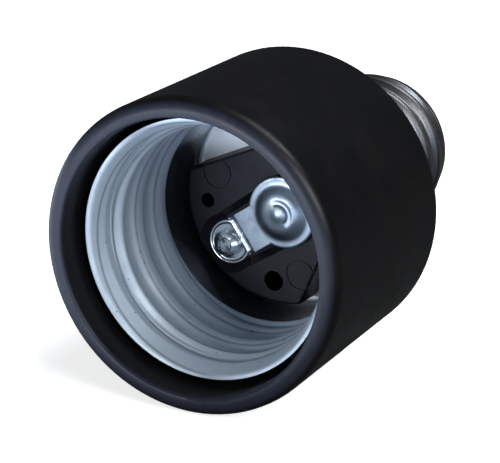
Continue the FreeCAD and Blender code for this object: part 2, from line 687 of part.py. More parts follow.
def make_carrier():
    """The moulded block that carries the contact strip, drawn along the strip."""
    body = new_body("contact_carrier", S.strip_angle.value)
    disc = new_sketch(body, "disc_outline", "XY_Plane", shell_floor)
    draw_circle(disc, "disc", 0, 0, carrier_radius)
    extrude(body, "disc", "Pad", disc, S.carrier_height)
    line_of_symmetry = S.carrier_angle - S.strip_angle
    for name, side in (("upper_flat", 1), ("lower_flat", -1)):
        angle = line_of_symmetry + S.flat_spread * side
        turn = Rotation(Vector(0, 0, 1), angle.value)
        box = body.newObject("PartDesign::SubtractiveBox", name)
        box.Length = carrier_radius.value
        box.setExpression("Length", carrier_radius.text)
        box.Width = 2 * carrier_radius.value
        box.setExpression("Width", "2 * " + carrier_radius.text)
        box.Height = S.carrier_height.value
        box.setExpression("Height", S.carrier_height.text)
        corner = Vector(S.carrier_flat.value, -carrier_radius.value, shell_floor.value)
        box.Placement = Placement(turn.multVec(corner), turn)
    doc.recompute()
    height = S.carrier_height.value
    round_edges(body, "corner_rounds", S.corner_round,
                lambda e: abs(e.BoundBox.ZLength - height) < 0.001 and is_straight(e))
    face = carrier_face.value
    round_edges(body, "upper_round", S.carrier_round,
                lambda e: abs(e.BoundBox.ZMin - face) < 0.001)
    far = S.channel_reach
    middle = -S.strip_shift
    slope = S.channel_slope
    bowl = body.newObject("PartDesign::SubtractiveCone", "channel_bowl")
    bowl.Radius1 = (S.channel_end - slope).value
    bowl.setExpression("Radius1", (S.channel_end - slope).text)
    bowl.Radius2 = S.channel_end.value
    bowl.setExpression("Radius2", S.channel_end.text)
    bowl.Height = S.channel_depth.value
    bowl.setExpression("Height", S.channel_depth.text)
    bowl.Placement = Placement(Vector(-S.strip_reach.value, middle.value, channel_floor.value), Rotation())
    near = -S.strip_reach + S.channel_end * 0.3
    top = draw_outline(new_sketch(body, "channel_top", "XY_Plane", carrier_face), [
        (near, middle - S.channel_end),
        (far, middle - S.channel_far),
        (far, middle + S.channel_far),
        (near, middle + S.channel_end),
    ])
    low = draw_outline(new_sketch(body, "channel_low", "XY_Plane", channel_floor), [
        (near, middle - S.channel_end + slope),
        (far - slope, middle - S.channel_far + slope),
        (far - slope, middle + S.channel_far - slope),
        (near, middle + S.channel_end - slope),
    ])
    channel = body.newObject("PartDesign::SubtractiveLoft", "channel")
    channel.Profile = top
    channel.Sections = [low]
    channel.Ruled = True
    doc.recompute()
    back = line_of_symmetry + 180
    small = polar(S.core_circle, back - S.core_spread)
    large = polar(S.core_circle, back + S.core_spread)
    cored = [small + (S.core_small,), large + (S.core_large,)]
    drill(body, "cored_holes", cored, carrier_face, S.core_depth)
    marks = new_sketch(body, "mark_circles", "XY_Plane", carrier_face)
    for name, spread in (("upper", S.mark_spread), ("lower", -S.mark_spread)):
        x, y = polar(S.mark_circle, back + spread)
        draw_circle(marks, name + "_outside", x, y, S.mark_radius)
        draw_circle(marks, name + "_inside", x, y, S.mark_radius - S.mark_line)
    extrude(body, "ejector_marks", "Pocket", marks, S.mark_depth)
    drill(body, "screw_hole", [(-S.strip_reach, middle, S.screw_radius + S.screw_play)],
          channel_floor, S.carrier_height)
    # Pockets in the back, open towards the shell bottom
    pocket_depth = tag_ceiling - shell_floor
    half_nut = S.nut_side * 0.5 + S.nut_play
    nut = draw_outline(new_sketch(body, "nut_outline", "XY_Plane", shell_floor), [
        (-S.strip_reach - half_nut, middle - half_nut),
        (-S.strip_reach + half_nut, middle - half_nut),
        (-S.strip_reach + half_nut, middle + half_nut),
        (-S.strip_reach - half_nut, middle + half_nut),
    ])
    extrude(body, "nut_pocket", "Pocket", nut, pocket_depth, reverse=True)
    half_tag = S.tag_width * 0.5 + S.tag_play
    groove = draw_outline(new_sketch(body, "groove_outline", "XY_Plane", shell_floor), [
        (-S.strip_reach, middle - half_tag),
        (half_tag - S.tag_offset, middle - half_tag),
        (half_tag - S.tag_offset, middle + half_tag),
        (-S.strip_reach, middle + half_tag),
    ])
    extrude(body, "tag_groove", "Pocket", groove, pocket_depth, reverse=True)
    fixing = fixing_angle - S.strip_angle
    x, y = polar(S.fixing_circle, fixing)
    fixing_holes = new_sketch(body, "fixing_circles", "XY_Plane", shell_floor)
    draw_circle(fixing_holes, "one", x, y, S.fixing_radius)
    draw_circle(fixing_holes, "two", -x, -y, S.fixing_radius)
    extrude(body, "fixing_holes_blind", "Pocket", fixing_holes, S.fixing_depth + S.tag_play, reverse=True)
    side = new_sketch(body, "side_tag_outline", "XY_Plane", shell_floor)
    draw_circle(side, "ring", x, y, S.tag_ring + S.tag_play)
    extrude(body, "side_tag_seat", "Pocket", side, S.tag_sheet, reverse=True)
    run = body.newObject("PartDesign::SubtractiveBox", "side_tag_run")
    run.Length = S.fixing_circle.value
    run.setExpression("Length", S.fixing_circle.text)
    run.Width = 2 * half_tag.value
    run.setExpression("Width", "2 * " + half_tag.text)
    run.Height = S.tag_sheet.value
    run.setExpression("Height", S.tag_sheet.text)
    turn = Rotation(Vector(0, 0, 1), fixing.value)
    run.Placement = Placement(turn.multVec(Vector(0, -half_tag.value, shell_floor.value)), turn)
    doc.recompute()
    return body


def draw_foot(body, name, lift, radius):
    """Draw the D shape of the foot at a radius, its straight side at the joggle."""
    value = math.sqrt(radius.value ** 2 - S.foot_edge.value ** 2)
    half = Size(value, "sqrt(%s ^ 2 - %s ^ 2)" % (radius.text, S.foot_edge.text))
    edge = S.foot_edge - S.strip_reach
    sketch = new_sketch(body, name, "XY_Plane", lift)
    return draw_outline(sketch, [(edge, half), (edge, -half)], {0: (radius, True, True)})


def make_centre_contact():
    """The contact strip: D-shaped foot, joggle, neck and domed pad."""
    body = new_body("centre_contact", S.strip_angle.value, -S.strip_shift.value)
    low = channel_floor
    low_top = low + S.strip_sheet
    high = low + S.strip_rise
    high_top = high + S.strip_sheet
    crown = high_top + S.pad_crown
    dome = cap_radius(S.pad_flat, S.pad_crown)
    revolve(body, "pad", [
        (0, high + S.pad_crown),
        (S.pad_flat, high),
        (S.pad_radius, high),
        (S.pad_radius, high_top),
        (S.pad_flat, high_top),
        (0, crown),
    ], {0: (dome, False, False), 4: (dome, True, False)})
    round_edges(body, "pad_bend", S.pad_blend, lambda e: is_ring(e, S.pad_flat, high_top))
    sunk = S.strip_sheet * 0.5
    revolve(body, "boss", [
        (0, crown - sunk),
        (S.boss_radius, crown - sunk),
        (0, crown + S.boss_height),
    ], {1: (cap_radius(S.boss_radius, S.boss_height + sunk), True, False)})
    edge = S.foot_edge - S.strip_reach
    riser = edge + S.joggle_run
    neck = draw_outline(new_sketch(body, "neck_outline"), [
        (edge - S.strip_sheet, low),
        (edge + S.strip_sheet, low),
        (riser + S.strip_sheet, high),
        (-S.pad_flat, high),
        (-S.pad_flat, high_top),
        (riser, high_top),
        (edge, low_top),
        (edge - S.strip_sheet, low_top),
    ])
    extrude(body, "neck", "Pad", neck, S.strip_width, both=True)
    foot = draw_foot(body, "foot_outline", low, S.foot_radius)
    extrude(body, "foot", "Pad", foot, S.strip_sheet + S.foot_lift)
    dish = draw_foot(body, "dish_outline", low_top + S.foot_lift, S.foot_radius - S.foot_rim)
    extrude(body, "foot_dish", "Pocket", dish, S.foot_lift)
    drill(body, "foot_hole", [(-S.strip_reach, 0, S.screw_radius + S.screw_play)], low_top, S.strip_sheet)
    return body


def make_contact_screw():
    """The pan-head screw that holds the strip, with its combined cross and slot."""
    body = new_body("contact_screw", S.strip_angle.value, -S.strip_shift.value)
    body.Placement = body.Placement * Placement(Vector(-S.strip_reach.value, 0, 0), Rotation())
    tip = shell_floor + S.screw_play
    top = head_seat + S.head_height
    revolve(body, "turned", [
        (0, tip),
        (S.screw_radius * 0.7, tip),
        (S.screw_radius, tip + S.screw_radius * 0.3),
        (S.screw_radius, head_seat),
        (S.head_radius, head_seat),
        (S.head_radius, top - S.head_crown),
        (0, top),
    ], {5: (cap_radius(S.head_radius, S.head_crown), True, False)})
    half = S.recess_width * 0.5
    for name, across, along in (("slot", S.recess_reach, half), ("cross", half, S.recess_reach)):
        cut = draw_outline(new_sketch(body, name + "_outline", "XY_Plane", top), [
            (-across, -along),
            (across, -along),
            (across, along),
            (-across, along),
        ])
        extrude(body, name, "Pocket", cut, S.recess_depth)
    funnel = body.newObject("PartDesign::SubtractiveCone", "funnel")
    funnel.Radius1 = S.recess_throat.value
    funnel.setExpression("Radius1", S.recess_throat.text)
    funnel.Radius2 = S.recess_mouth.value
    funnel.setExpression("Radius2", S.recess_mouth.text)
    funnel.Height = S.recess_funnel.value
    funnel.setExpression("Height", S.recess_funnel.text)
    funnel.Placement = Placement(Vector(0, 0, (top - S.recess_funnel).value), Rotation())
    doc.recompute()
    return body


def make_washer():
    """The lock washer under the screw head."""
    body = new_body("contact_washer", S.strip_angle.value, -S.strip_shift.value)
    body.Placement = body.Placement * Placement(Vector(-S.strip_reach.value, 0, 0), Rotation())
    inner = S.screw_radius + S.screw_play
    revolve(body, "ring", [
        (inner, washer_seat),
        (S.washer_radius, washer_seat),
        (S.washer_radius, head_seat),
        (inner, head_seat),
    ])
    return body


def make_nut():
    """The square nut in the back of the carrier."""
    body = new_body("contact_nut", S.strip_angle.value, -S.strip_shift.value)
    body.Placement = body.Placement * Placement(Vector(-S.strip_reach.value, 0, 0), Rotation())
    low = tag_ceiling - S.tag_sheet - S.nut_height
    half = S.nut_side * 0.5
    square = draw_outline(new_sketch(body, "square_outline", "XY_Plane", low), [
        (-half, -half),
        (half, -half),
        (half, half),
        (-half, half),
    ])
    extrude(body, "square", "Pad", square, S.nut_height)
    drill(body, "thread_hole", [(0, 0, S.screw_radius)], low + S.nut_height, S.nut_height)
    return body


def make_tag(label, angle, shift, reach, top, hole):
    """A solder tag: a ring under a screw, a flat run to the axis and a tail towards the cap."""
    body = new_body(label, angle.value, shift.value)
    low = top - S.tag_sheet
    tail = -S.tag_tail
    ring = new_sketch(body, "ring_outline", "XY_Plane", low)
    draw_circle(ring, "ring", reach, 0, S.tag_ring)
    side = draw_outline(new_sketch(body, "side_outline"), [
        (reach, low),
        (reach, top),
        (S.tag_offset - S.tag_sheet, top),
        (S.tag_offset - S.tag_sheet, tail),
        (S.tag_offset, tail),
        (S.tag_offset, low),
    ])
    extrude(body, "tail", "Pad", side, S.tag_width, both=True)
    extrude(body, "ring", "Pad", ring, S.tag_sheet)
    drill(body, "screw_hole", [(reach, 0, hole)], top, S.tag_sheet)
    return body


def make_fixing_screws():
    """The two tapping screws that hold carrier and shell on the floor."""
    body = new_body("fixing_screw", fixing_angle.value)
    tip = shell_floor + S.fixing_depth
    head = -S.fixing_head_height
    sketch = draw_outline(new_sketch(body, "turned_outline"), [
        (S.fixing_circle, tip),
        (S.fixing_circle + S.fixing_radius * 0.4, tip),
        (S.fixing_circle + S.fixing_radius, tip - S.fixing_radius),
        (S.fixing_circle + S.fixing_radius, 0),
        (S.fixing_circle + S.fixing_head, 0),
        (S.fixing_circle + S.fixing_head, head * 0.5),
        (S.fixing_circle + S.fixing_head * 0.7, head * 0.9),
        (S.fixing_circle + S.fixing_head * 0.3, head),
        (S.fixing_circle, head),
    ])
    turned = body.newObject("PartDesign::Revolution", "turned")
    turned.Profile = sketch
    turned.ReferenceAxis = (sketch, ["Edge9"])
    turned.Angle = 360
    doc.recompute()
    half = S.recess_width * 0.5
    for name, across, along in (("slot", S.recess_reach, half), ("cross", half, S.recess_reach)):
        cut = draw_outline(new_sketch(body, name + "_outline", "XY_Plane", head), [
            (S.fixing_circle - across, -along),
            (S.fixing_circle + across, -along),
            (S.fixing_circle + across, along),
            (S.fixing_circle - across, along),
        ])
        extrude(body, name, "Pocket", cut, S.recess_depth, reverse=True)
    other = doc.addObject("Part::Feature", "fixing_screw_twin")
    twin = body.Shape.copy()
    twin.Placement = frame_at(fixing_angle.value + 180)
    other.Shape = twin
    pair = doc.addObject("Part::Compound", "fixing_screws")
    pair.Links = [body, other]
    doc.recompute()
    return pair


def make_cap_shell():
    """The screw cap: plain skirt, rolled thread and an end turned in over the plug."""
    sheet_now = S.cap_sheet.value
    bend_top = cap_end + S.cap_sheet + S.cap_bend
    thread_low = bend_top + S.cap_straight
    thread_high = -S.skirt_length
    first_crest = bend_top + S.cap_pitch
    thread = Thread(
        S.cap_major.value, S.cap_depth.value, S.cap_pitch.value, first_crest.value,
        thread_low.value, thread_high.value, cap_root.value, skirt_radius.value, S.cap_pitch.value / 2)
    skirt = turned_sheet([(skirt_radius, as_size(0)), (skirt_radius, thread_high)], [], sheet_now)
    end = turned_sheet([
        (cap_root, thread_low),
        (cap_root, cap_end),
        (S.cap_mouth, cap_end),
    ], [S.cap_bend], sheet_now)
    feature = doc.addObject("Part::Feature", "e27_shell")
    feature.Shape = threaded_tube(thread, -sheet_now, 0).multiFuse([skirt, end], JOIN_GAP)
    feature.Placement = frame_at()
    return feature


def make_plug():
    """The insulating plug between the neck and the turned-in end of the cap."""
    body = new_body("e27_insulator")
    flange = cap_end + S.cap_sheet
    root = cap_root - S.cap_sheet - S.plug_clearance
    corner = S.cap_bend
    nose = S.cap_mouth - S.plug_clearance
    revolve(body, "plug", [
        (S.tip_shank, neck_end),
        (root, neck_end),
        (root, flange + corner),
        (root - corner, flange),
        (nose, flange),
        (nose, cap_end),
        (nose - S.plug_clearance, cap_end - S.cap_sheet),
        (S.plug_nose_radius, plug_end),
        (S.tip_shank, plug_end),
    ])
    return body


def make_tip():
    """The end contact: a domed button on a hollow shank clinched over the plug."""
    body = new_body("e27_tip")
    clinch = neck_end + S.tip_clinch_height
    edge = tip_seat - S.tip_flange
    crown = edge - S.tip_crown
    revolve(body, "button", [
        (S.core_radius, clinch),
        (S.tip_clinch, clinch),
        (S.tip_clinch, neck_end),
        (S.tip_shank, neck_end),
        (S.tip_shank, tip_seat),
        (S.tip_radius, tip_seat),
        (S.tip_radius, edge + S.tip_flange * 0.4),
        (S.tip_radius * 0.9, edge),
        (S.tip_radius * 0.62, edge - S.tip_crown * 0.75),
        (S.solder_radius, crown),
        (S.core_radius, crown),
    ])
    return body


def make_tip_solder():
    """The drop of solder that closes the end contact."""
    body = new_body("tip_solder")
    low = tip_seat - S.tip_flange - S.tip_crown
    revolve(body, "drop", [
        (0, low),
        (S.solder_radius, low),
        (S.solder_radius * 0.8, low - S.solder_crown * 0.65),
        (S.solder_radius * 0.4, low - S.solder_crown),
        (0, low - S.solder_crown),
    ])
    return body


def pipe(path, radius):
    """A round bar along a path."""
    start = path.OrderedEdges[0]
    point = start.valueAt(start.FirstParameter)
    heading = start.tangentAt(start.FirstParameter)
    ring = Part.Wire(Part.makeCircle(radius, point, heading))
    return path.makePipeShell([ring], True, True)


def make_lead(name, angle, points, radii, sleeve_from, sleeve_to, end_points):
    """One wire: a bare core along the whole route and a sleeve over its middle."""
    route = rounded_path(points, radii)
    core = doc.addObject("Part::Feature", name + "_core")
    core.Shape = pipe(route, S.core_radius.value)
    core.Placement = frame_at(angle)
    covered = rounded_path([sleeve_from] + end_points + [sleeve_to], radii[:len(end_points)])
    sleeve = doc.addObject("Part::Feature", name + "_sleeve")
    sleeve.Shape = pipe(covered, S.sleeve_radius.value).cut(pipe(covered, S.core_radius.value))
    sleeve.Placement = frame_at(angle)
    return [core, sleeve]


def make_leads():
    """The centre wire to the end contact and the side wire to the cap."""
    near = (S.tag_offset - S.tag_sheet - S.core_radius - S.solder_film).value
    beside = S.strip_shift.value
    top = S.bare_length.value - S.tag_tail.value
    bare = -S.tag_tail.value - S.core_radius.value
    straight = -S.lead_straight.value
    bend = S.lead_bend.value
    sharp = S.lead_corner.value
    out = []
    tip = (tip_seat - S.tip_flange - S.tip_crown).value
    centre_points = [
        Vector(near, beside, top),
        Vector(near, beside, straight),
        Vector(0, 0, straight - S.lead_bend.value),
        Vector(0, 0, tip),
    ]
    clinch = (neck_end + S.tip_clinch_height).value
    out += make_lead("centre_lead", contact_side.value, centre_points, [bend, bend],
                     Vector(near, beside, bare), Vector(0, 0, clinch + S.core_radius.value),
                     centre_points[1:3])
    run = S.side_wire_run.value
    level = neck_end.value + S.notch_depth.value / 2
    reach = (cap_root - S.cap_sheet - S.neck_clearance * 2).value
    side_points = [
        Vector(near, 0, top),
        Vector(near, 0, straight),
        Vector(run, 0, 2 * straight),
        Vector(run, 0, level),
        Vector(reach, 0, level),
    ]
    out += make_lead("side_lead", fixing_angle.value, side_points, [bend, bend, sharp],
                     Vector(near, 0, bare), Vector(run, 0, level + 2 * sharp), side_points[1:3])
    return out


def make_bead(name, angle, place, radius, neighbours):
    """A solder bead that fills round the pieces it joins."""
    feature = doc.addObject("Part::Feature", name)
    ball = Part.makeSphere(radius, Vector(0, 0, 0))
    frame = frame_at(angle)
    ball.Placement = Placement(frame.multVec(place), frame.Rotation)
    for neighbour in neighbours:
        ball = ball.cut(neighbour.Shape)
    feature.Shape = sorted(ball.Solids, key=lambda solid: solid.Volume)[-1]
    return feature


def make_beads(housing, cap, centre_tag, side_tag, leads):
    """The beads on both tags and where the side wire meets the cap."""
    near = (S.tag_offset - S.tag_sheet - S.core_radius - S.solder_film).value
    middle = S.bare_length.value / 2 - S.tag_tail.value
    bead = S.bead_radius.value
    level = neck_end.value + S.notch_depth.value / 2
    reach = (cap_root - S.cap_sheet).value
    return [
        make_bead("centre_tag_solder", contact_side.value,
                  Vector(near, S.strip_shift.value, middle), bead, [centre_tag, leads[0]]),
        make_bead("side_tag_solder", fixing_angle.value,
                  Vector(near, 0, middle), bead, [side_tag, leads[2]]),
        make_bead("cap_solder", fixing_angle.value,
                  Vector(reach, 0, level), S.cap_bead_radius.value, [cap, housing, leads[2]]),
    ]


def main():
    """Build every piece, check it and write it."""
    housing = make_housing()
    pieces = [housing, make_socket_shell(), make_carrier(), make_centre_contact()]
    pieces += [make_contact_screw(), make_washer(), make_nut()]
    hole = S.screw_radius + S.screw_play
    centre_tag = make_tag("centre_tag", contact_side, S.strip_shift, S.strip_reach, tag_ceiling, hole)
    fixing = S.fixing_radius + S.screw_play
    side_tag = make_tag("side_tag", fixing_angle, as_size(0), S.fixing_circle, side_tag_top, fixing)
    pieces += [centre_tag, side_tag, make_fixing_screws()]
    cap = make_cap_shell()
    pieces += [cap, make_plug(), make_tip(), make_tip_solder()]
    leads = make_leads()
    pieces += leads
    pieces += make_beads(housing, cap, centre_tag, side_tag, leads)
    doc.recompute()
    for piece in doc.Objects:
        if "Invalid" in piece.State or "Error" in piece.State:
            raise RuntimeError("%s failed: %s" % (piece.Name, piece.State))
    os.makedirs("parts", exist_ok=True)
    for piece in pieces:
        shape = piece.Shape
        if shape.isNull() or not shape.isValid():
            raise RuntimeError(piece.Label + " has no valid shape")
        shape.exportStep("parts/%s.step" % piece.Label)
        print("%-20s %d solid(s) %9.2f mm3" % (piece.Label, len(shape.Solids), shape.Volume))


main()
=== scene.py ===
"""Lamp socket adapter: finishes, fine parts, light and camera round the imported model.

The lamp axis runs along Y: the socket's mouth faces -Y and the screw cap +Y. The centre of
the shoulder behind the housing is the origin. Every length is in metres, apart from the
contact strip's own sizes, which are in millimetres.
"""

import json
import logging
import math
from dataclasses import dataclass, field
from enum import Enum

import bmesh
import bpy
from mathutils import Matrix, Vector

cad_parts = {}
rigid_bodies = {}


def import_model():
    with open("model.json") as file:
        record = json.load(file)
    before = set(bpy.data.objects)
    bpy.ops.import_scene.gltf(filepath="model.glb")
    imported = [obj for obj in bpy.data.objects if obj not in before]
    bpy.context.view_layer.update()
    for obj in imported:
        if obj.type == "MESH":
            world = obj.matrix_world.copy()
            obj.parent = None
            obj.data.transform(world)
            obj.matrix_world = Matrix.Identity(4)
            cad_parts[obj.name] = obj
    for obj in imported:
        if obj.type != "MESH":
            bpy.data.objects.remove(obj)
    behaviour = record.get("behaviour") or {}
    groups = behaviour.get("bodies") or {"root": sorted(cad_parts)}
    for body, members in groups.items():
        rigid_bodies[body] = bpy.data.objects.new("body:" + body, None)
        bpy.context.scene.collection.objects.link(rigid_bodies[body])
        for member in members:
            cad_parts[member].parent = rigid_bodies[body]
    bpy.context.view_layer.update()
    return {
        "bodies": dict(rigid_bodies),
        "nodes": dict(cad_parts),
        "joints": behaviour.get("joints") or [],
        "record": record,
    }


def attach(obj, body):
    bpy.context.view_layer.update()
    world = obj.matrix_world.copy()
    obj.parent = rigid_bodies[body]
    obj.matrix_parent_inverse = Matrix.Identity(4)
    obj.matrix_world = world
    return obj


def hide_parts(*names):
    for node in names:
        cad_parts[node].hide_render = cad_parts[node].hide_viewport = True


LOG = logging.getLogger("adapter")
MM = 0.001
MERGE_MM = 0.0005
NEVER_ZERO = 0.00001
BODY = "root"

Colour = tuple[float, float, float]
Place = tuple[float, float, float]
Points = tuple[tuple[float, float], ...]
Socket = bpy.types.NodeSocket


class Slot(Enum):
    """The record's material slots."""

    HOUSING = "housing_plastic"
    SOCKET = "socket_plating"
    CARRIER = "carrier_moulding"
    CONTACT = "contact_metal"
    SCREW = "screw_steel"
    TAG = "tag_metal"
    CAP = "cap_plating"
    PLUG = "plug_moulding"
    TIP = "tip_metal"
    SOLDER = "solder"
    COPPER = "wire_copper"
    SLEEVE = "wire_sleeve"
    SLEEVE_DARK = "wire_sleeve_dark"


class Graph:
    """Adds and joins the nodes of one shader tree."""

    def __init__(self, tree: bpy.types.NodeTree) -> None:
        """Start on an empty tree.

        Args:
            tree: The node tree of a material or of a group.
        """
        self.tree = tree
        self.count = 0

    def node(self, kind: str, **settings: object) -> bpy.types.Node:
        """Add one node.

        Args:
            kind: The node's type name.
            **settings: Properties to set on it.

        Returns:
            The new node.
        """
        made = self.tree.nodes.new(kind)
        made.location = (self.count * 190.0, -(self.count % 3) * 160.0)
        self.count += 1
        for name, value in settings.items():
            setattr(made, name, value)
        return made

    def feed(self, target: Socket, source: Socket | float) -> None:
        """Join a socket to an input, or set the input's own value.

        Args:
            target: The input.
            source: The socket to join to it, or the value that it gets.
        """
        if isinstance(source, bpy.types.NodeSocket):
            self.tree.links.new(source, target)
        else:
            target.default_value = source

    def maths(self, operation: str, *terms: Socket | float) -> Socket:
        """Add a Math node.

        Args:
            operation: The operation's name.
            *terms: One to three numbers or sockets.

        Returns:
            The result's socket.
        """
        made = self.node("ShaderNodeMath", operation=operation)
        for target, term in zip(made.inputs, terms):
            self.feed(target, term)
        return made.outputs[0]

    def ramp(self, value: Socket, low: Socket | float, high: Socket | float,
             start: float = 0.0, end: float = 1.0) -> Socket:
        """Map a value smoothly from low..high to start..end.

        Args:
            value: The value to map.
            low: Where the ramp starts.
            high: Where it ends.
            start: The result at low.
            end: The result at high.

        Returns:
            The result's socket.
        """
        made = self.node("ShaderNodeMapRange", interpolation_type="SMOOTHSTEP")
        for name, term in (("Value", value), ("From Min", low), ("From Max", high),
                           ("To Min", start), ("To Max", end)):
            self.feed(made.inputs[name], term)
        return made.outputs[0]

    def noise(self, vector: Socket, scale: Socket | float, detail: float = 3.0,
              rough: float = 0.55) -> Socket:
        """Add a noise of a given scale, in waves for each metre.

        Args:
            vector: Where to read the noise.
            scale: Its scale.
            detail: Its octaves.
            rough: How strong the finer octaves are.

        Returns:
            The noise as a value.
        """
        made = self.node("ShaderNodeTexNoise")
        self.feed(made.inputs["Vector"], vector)
        self.feed(made.inputs["Scale"], scale)
        made.inputs["Detail"].default_value = detail
        made.inputs["Roughness"].default_value = rough
        return made.outputs[0]

    def blend(self, share: Socket | float, first: Socket | Colour,
              second: Socket | Colour) -> Socket:
        """Mix two colours by a share.

        Args:
            share: 0 for the first colour, 1 for the second.
            first: The first colour.
            second: The second colour.

        Returns:
            The mixed colour.
        """
        made = self.node("ShaderNodeMix", data_type="RGBA")
        self.feed(made.inputs[0], share)
        for index, term in ((6, first), (7, second)):
            colour = term if isinstance(term, bpy.types.NodeSocket) else (*term, 1.0)
            self.feed(made.inputs[index], colour)
        return made.outputs[2]

    def place(self) -> Socket:
        """Give the object's own coordinates."""
        return self.node("ShaderNodeTexCoord").outputs["Object"]

    def axes(self) -> tuple[Socket, Socket, Socket]:
        """Give the object's own coordinates one by one.

        Returns:
            How far across, along the lamp axis and up.
        """
        parts = self.node("ShaderNodeSeparateXYZ")
        self.feed(parts.inputs[0], self.place())
        return tuple(parts.outputs)


@dataclass(frozen=True)
class Effect:
    """A shared effect: a node group with named inputs and one output."""

    name: str
    inputs: dict[str, float]
    output: str

    def start(self) -> tuple[Graph, bpy.types.Node, bpy.types.Node]:
        """Make the empty group.

        Returns:
            The graph, and the nodes that hold its inputs and its output.
        """
        tree = bpy.data.node_groups.new(self.name, "ShaderNodeTree")
        for name, value in self.inputs.items():
            made = tree.interface.new_socket(name=name, in_out="INPUT", socket_type="NodeSocketFloat")
            made.default_value = value
        tree.interface.new_socket(name=self.output, in_out="OUTPUT", socket_type="NodeSocketFloat")
        graph = Graph(tree)
        return graph, graph.node("NodeGroupInput"), graph.node("NodeGroupOutput")

    def use(self, graph: Graph, **values: float) -> Socket:
        """Place the group in a material.

        Args:
            graph: The material's graph.
            **values: Its inputs by name.

        Returns:
            The group's output.
        """
        made = graph.node("ShaderNodeGroup", node_tree=bpy.data.node_groups[self.name])
        for name, value in values.items():
            made.inputs[name].default_value = value
        return made.outputs[0]


TURNED = Effect("turned_lines", {"Fineness": 5200.0, "Length": 2.5}, "Height")
GRAIN = Effect("moulded_grain", {"Scale": 3000.0, "Depth": 1.0}, "Height")
SPECKS = Effect("specks", {"Scale": 400.0, "Share": 0.1, "Size": 0.2}, "Mask")
CLOUDS = Effect("clouds", {"Scale": 60.0, "Low": 0.4, "High": 0.7}, "Mask")
# Masks that follow the thread, for the lines of painted shade and the ridge's pale line.
THREAD_LINES = Effect("thread_lines", {"Pitch": 6.35 * MM, "Start": 0.0, "Offset": 0.2, "Width": 0.06}, "Mask")
SCRATCHES = Effect("scratches", {"Scale": 260.0, "Width": 0.03}, "Mask")
SCRATCH_WAVES = 40.0
SCRATCH_BEND = (0.012, 0.012, 0.012)


def make_turned_lines() -> None:
    """Build the fine lines round the lamp axis that drawing and turning leave."""
    graph, given, out = TURNED.start()
    across, along, up = graph.axes()
    radius = graph.maths("SQRT", graph.maths("ADD", graph.maths("MULTIPLY", across, across),
                                             graph.maths("MULTIPLY", up, up)))
    travel = graph.maths("MULTIPLY", graph.maths("ADD", along, radius), given.outputs["Fineness"])
    vector = graph.node("ShaderNodeCombineXYZ")
    graph.feed(vector.inputs[0], travel)
    for index, axis in ((1, across), (2, up)):
        side = graph.maths("DIVIDE", axis, graph.maths("ADD", radius, NEVER_ZERO))
        graph.feed(vector.inputs[index], graph.maths("MULTIPLY", side, given.outputs["Length"]))
    graph.feed(out.inputs[0], graph.noise(vector.outputs[0], 1.0, 4.0, 0.6))


def make_grain() -> None:
    """Build the fine grain of mouldings and plating."""
    graph, given, out = GRAIN.start()
    height = graph.noise(graph.place(), given.outputs["Scale"], 2.0, 0.5)
    graph.feed(out.inputs[0], graph.maths("MULTIPLY", height, given.outputs["Depth"]))


def make_specks() -> None:
    """Build the round specks: some cells have one, and each has its own size."""
    graph, given, out = SPECKS.start()
    cells = graph.node("ShaderNodeTexVoronoi", feature="F1")
    graph.feed(cells.inputs["Vector"], graph.place())
    graph.feed(cells.inputs["Scale"], given.outputs["Scale"])
    draw = graph.node("ShaderNodeSeparateColor")
    graph.feed(draw.inputs[0], cells.outputs["Color"])
    reach = graph.maths("MULTIPLY", given.outputs["Size"], draw.outputs["Green"])
    near = graph.maths("LESS_THAN", cells.outputs["Distance"], reach)
    chosen = graph.maths("LESS_THAN", draw.outputs["Red"], given.outputs["Share"])
    graph.feed(out.inputs[0], graph.maths("MULTIPLY", near, chosen))


def make_clouds() -> None:
    """Build the soft patches of duller surface."""
    graph, given, out = CLOUDS.start()
    value = graph.noise(graph.place(), given.outputs["Scale"], 5.0, 0.6)
    graph.feed(out.inputs[0], graph.ramp(value, given.outputs["Low"], given.outputs["High"]))


def make_thread_lines() -> None:
    """Build the pair of lines that follow a thread's ridge, one on each side of it.

    Start is the place on the lamp axis where the groove passes the +X side. Offset is how far
    each line is from the ridge, in pitches, and Width how far it fades.
    """
    graph, given, out = THREAD_LINES.start()
    across, along, up = graph.axes()
    turn = graph.maths("DIVIDE", graph.maths("ARCTAN2", up, across), math.tau)
    from_start = graph.maths("SUBTRACT", along, given.outputs["Start"])
    turns = graph.maths("ADD", graph.maths("DIVIDE", from_start, given.outputs["Pitch"]), turn)
    from_ridge = graph.maths("ABSOLUTE", graph.maths("SUBTRACT", graph.maths("FRACT", turns), 0.5))
    from_line = graph.maths("ABSOLUTE", graph.maths("SUBTRACT", from_ridge, given.outputs["Offset"]))
    graph.feed(out.inputs[0], graph.ramp(from_line, 0.0, given.outputs["Width"], 1.0, 0.0))


def make_scratches() -> None:
    """Build the short broken scratches, which bend a little."""
    graph, given, out = SCRATCHES.start()
    spread = graph.node("ShaderNodeVectorMath", operation="MULTIPLY_ADD")
    waves = graph.node("ShaderNodeTexNoise")
    graph.feed(waves.inputs["Vector"], graph.place())
    waves.inputs["Scale"].default_value = SCRATCH_WAVES
    graph.feed(spread.inputs[0], waves.outputs["Color"])
    spread.inputs[1].default_value = SCRATCH_BEND
    graph.feed(spread.inputs[2], graph.place())
    cells = graph.node("ShaderNodeTexVoronoi", feature="DISTANCE_TO_EDGE")
    graph.feed(cells.inputs["Vector"], spread.outputs[0])
    graph.feed(cells.inputs["Scale"], given.outputs["Scale"])
    line = graph.maths("LESS_THAN", cells.outputs["Distance"], given.outputs["Width"])
    broken = graph.ramp(graph.noise(graph.place(), 500.0), 0.52, 0.62)
    graph.feed(out.inputs[0], graph.maths("MULTIPLY", line, broken))


